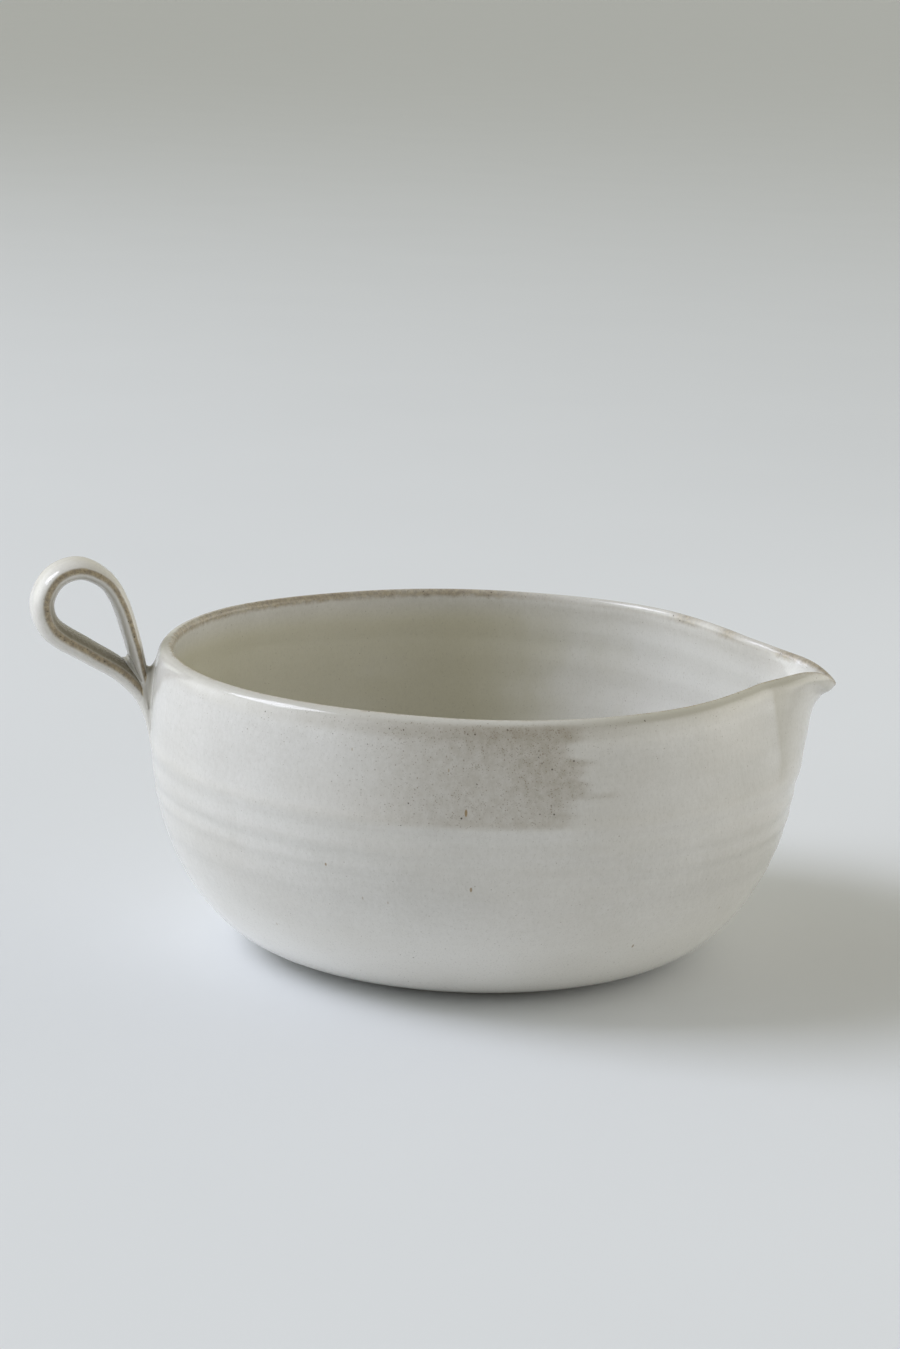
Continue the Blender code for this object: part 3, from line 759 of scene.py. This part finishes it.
    for turn, high, wide, long, strength in drips:
        a = math.radians(turn)
        r = float(outer_r(high))
        off = g.node("ShaderNodeVectorMath", operation="SUBTRACT")
        g.put(off.inputs[0], g.coord)
        g.put(off.inputs[1], (r * math.cos(a) * MM, r * math.sin(a) * MM, high * MM))
        total = 0.0
        for way, reach in (((-math.sin(a), math.cos(a), 0.0), wide), ((0.0, 0.0, 1.0), long),
                           ((math.cos(a), math.sin(a), 0.0), 3.0)):
            dot = g.node("ShaderNodeVectorMath", operation="DOT_PRODUCT")
            g.put(dot.inputs[0], off.outputs[0])
            g.put(dot.inputs[1], tuple(c / (reach * MM) for c in way))
            total = g.math("MULTIPLY_ADD", dot.outputs["Value"], dot.outputs["Value"], total)
        spot = g.step(g.math("MULTIPLY_ADD", ragged, 0.35, total), 1.3, 0.35)
        colour = g.mix(g.math("MULTIPLY", spot, 0.85 * strength), colour, rgb(0.270, 0.165, 0.045))

    # bare, fired clay on the underside
    clay = g.mix(g.noise((900, 900, 900), 4.0, 0.7, 4.0), rgb(0.36, 0.285, 0.20), rgb(0.52, 0.43, 0.32))
    grit = g.specks(760.0, 0.36, 0.12, 0.22)
    clay = g.mix(g.math("MULTIPLY", grit, 0.6), clay, rgb(0.16, 0.115, 0.075))
    colour = g.mix(unglazed, colour, clay)

    rough = g.step(g.noise((900, 900, 600), 2.0, 0.5, 6.0), 0.3, 0.7, 0.12, 0.18)
    rough = g.math("MULTIPLY_ADD", pooled_glaze_and_shade, 0.12, rough)
    rough = g.math("MULTIPLY_ADD", thin, 0.12, rough)
    rough = g.math("MULTIPLY_ADD", unglazed, 0.62, rough)

    swell = g.noise((240, 240, 170), 2.0, 0.5, 8.0)
    relief = g.math("MULTIPLY_ADD", mottle, 0.14, swell)
    relief = g.math("SUBTRACT", relief, g.math("MULTIPLY", pepper, 0.10))
    relief = g.math("ADD", relief, g.math("MULTIPLY", unglazed, g.math("MULTIPLY", grit, 0.8)))
    bump = g.node("ShaderNodeBump", {"Height": relief, "Strength": 0.5, "Distance": 0.00009})

    shader = g.node("ShaderNodeBsdfPrincipled", {
        "Base Color": colour, "Roughness": rough, "Normal": bump.outputs[0],
        "IOR": 1.52, "Metallic": 0.0})
    out = g.node("ShaderNodeOutputMaterial")
    g.tree.links.new(shader.outputs[0], out.inputs["Surface"])
    return g.mat


MILK, SHADE = rgb(0.704, 0.688, 0.658), rgb(0.584, 0.567, 0.530)
bowl.data.materials.append(glaze("milky_glaze_bowl", MILK, SHADE, DRIPS))
handle.data.materials.append(glaze("milky_glaze_strap", rgb(0.740, 0.716, 0.672), rgb(0.622, 0.596, 0.540)))
slip.data.materials.append(glaze("glaze_over_slip", rgb(0.732, 0.711, 0.672), rgb(0.612, 0.590, 0.540)))

for piece, node, slot in ((bowl, "thrown_bowl", "milky_glaze"), (handle, "loop_handle", "strap_glaze"),
                          (slip, "luting_slip", "slip_clay")):
    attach(piece, "root")
    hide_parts(node)


# ------------------------------------------------------------------ the stage
def make_floor():
    size = 40.0
    mesh = bpy.data.meshes.new("floor")
    mesh.from_pydata([(-size, -size, 0.0), (size, -size, 0.0), (size, size, 0.0), (-size, size, 0.0)], [], [(0, 1, 2, 3)])
    obj = bpy.data.objects.new("floor", mesh)
    bpy.context.scene.collection.objects.link(obj)
    g = Graph("pale_floor")
    soft = g.noise((7, 7, 7), 3.0, 0.5, 0.2)
    colour = g.mix(soft, rgb(0.742, 0.758, 0.776), rgb(0.764, 0.780, 0.798))
    shader = g.node("ShaderNodeBsdfPrincipled", {"Base Color": colour, "Roughness": 0.65, "IOR": 1.45})
    out = g.node("ShaderNodeOutputMaterial")
    g.tree.links.new(shader.outputs[0], out.inputs["Surface"])
    mesh.materials.append(g.mat)
    obj.location.z = -0.0001
    return obj


make_floor()


def area_light(name, place, aim, wide, high, watts, colour):
    data = bpy.data.lights.new(name, "AREA")
    data.shape = "RECTANGLE"
    data.size, data.size_y = wide, high
    data.energy = watts
    data.color = colour
    obj = bpy.data.objects.new(name, data)
    bpy.context.scene.collection.objects.link(obj)
    obj.location = place
    obj.visible_camera = False
    obj.rotation_euler = (Vector(aim) - Vector(place)).to_track_quat("-Z", "Y").to_euler()
    return obj


area_light("key_left", (-2.67, 0.02, 2.50), (0.0, 0.0, 0.05), 1.88, 1.75, 81.0, (0.840, 0.874, 1.0))
# a low white reflector on the right
area_light("reflector_right", (0.56, -0.10, 0.205), (0.0, -0.10, 0.205), 1.42, 0.32, 1.00, (1.0, 0.995, 0.995))


def make_world():
    """A dim warm room, darker in front than behind, with a low bright window side
    on the left."""
    world = bpy.data.worlds.new("studio")
    world.use_nodes = True
    tree = world.node_tree
    tree.nodes.clear()

    def node(kind, **props):
        n = tree.nodes.new(kind)
        for key, value in props.items():
            setattr(n, key, value)
        return n

    def ease(value, low, high, start, end):
        n = node("ShaderNodeMapRange", interpolation_type="SMOOTHSTEP")
        for key, number in (("From Min", low), ("From Max", high), ("To Min", start), ("To Max", end)):
            n.inputs[key].default_value = number
        tree.links.new(value, n.inputs["Value"])
        return n.outputs["Result"]

    def combine(op, a, b):
        n = node("ShaderNodeMath", operation=op)
        for k, v in enumerate((a, b)):
            if isinstance(v, float):
                n.inputs[k].default_value = v
            else:
                tree.links.new(v, n.inputs[k])
        return n.outputs[0]

    split = node("ShaderNodeSeparateXYZ")
    tree.links.new(node("ShaderNodeTexCoord").outputs["Generated"], split.inputs[0])
    x, y, z = split.outputs
    fade = ease(z, 0.1, 0.9, 1.0, 0.6)
    room = node("ShaderNodeMix", data_type="RGBA")
    tree.links.new(ease(x, 0.5, -0.2, 0.0, 1.0), room.inputs[0])
    room.inputs[6].default_value = rgb(0.590, 0.580, 0.510)
    room.inputs[7].default_value = rgb(0.520, 0.503, 0.396)
    walls = node("ShaderNodeBackground")
    tree.links.new(room.outputs[2], walls.inputs["Color"])
    depth = combine("ADD", ease(y, -0.8, 0.6, 0.28, 0.92), combine("MULTIPLY", combine("MAXIMUM", x, 0.0), 1.00))
    tree.links.new(combine("MULTIPLY", depth, fade), walls.inputs["Strength"])
    window = node("ShaderNodeBackground")
    window.inputs["Color"].default_value = rgb(0.90, 0.955, 1.0)
    left = combine("POWER", combine("MAXIMUM", combine("MULTIPLY", x, -1.0), 0.0), 2.6)
    left = combine("MULTIPLY", combine("MULTIPLY", left, 2.45), ease(z, -0.1, 0.35, 0.58, 1.0))
    tree.links.new(combine("MULTIPLY", left, fade), window.inputs["Strength"])
    both = node("ShaderNodeAddShader")
    tree.links.new(walls.outputs[0], both.inputs[0])
    tree.links.new(window.outputs[0], both.inputs[1])
    # a plain pale backdrop past the edge of the floor
    backdrop = node("ShaderNodeBackground")
    backdrop.inputs["Color"].default_value = rgb(0.500, 0.515, 0.515)
    seen = node("ShaderNodeMixShader")
    tree.links.new(node("ShaderNodeLightPath").outputs["Is Camera Ray"], seen.inputs[0])
    tree.links.new(both.outputs[0], seen.inputs[1])
    tree.links.new(backdrop.outputs[0], seen.inputs[2])
    tree.links.new(seen.outputs[0], node("ShaderNodeOutputWorld").inputs["Surface"])
    bpy.context.scene.world = world


make_world()

view = bpy.context.scene.view_settings
view.view_transform = "Standard"
view.look = "None"
view.exposure = 0.0
view.gamma = 1.0


# ------------------------------------------------------------------ the camera
def make_camera():
    yaw, pitch, roll = math.radians(-0.49), math.radians(12.60), math.radians(1.74)
    ahead = Vector((math.sin(yaw) * math.cos(pitch), math.cos(yaw) * math.cos(pitch), -math.sin(pitch)))
    right = Vector((math.cos(yaw), -math.sin(yaw), 0.0))
    down = ahead.cross(right)
    x = right * math.cos(roll) - down * math.sin(roll)
    y = -(right * math.sin(roll) + down * math.cos(roll))
    data = bpy.data.cameras.new("camera")
    data.sensor_fit = "VERTICAL"
    data.sensor_height = 36.0
    data.lens = 3200.0 * 36.0 / 1349.0
    data.clip_start, data.clip_end = 0.01, 200.0
    obj = bpy.data.objects.new("camera", data)
    bpy.context.scene.collection.objects.link(obj)
    turn = Matrix((x, y, -ahead)).transposed().to_4x4()
    obj.matrix_world = Matrix.Translation((0.0, -0.9202, 0.2852)) @ turn
    bpy.context.scene.camera = obj


make_camera()
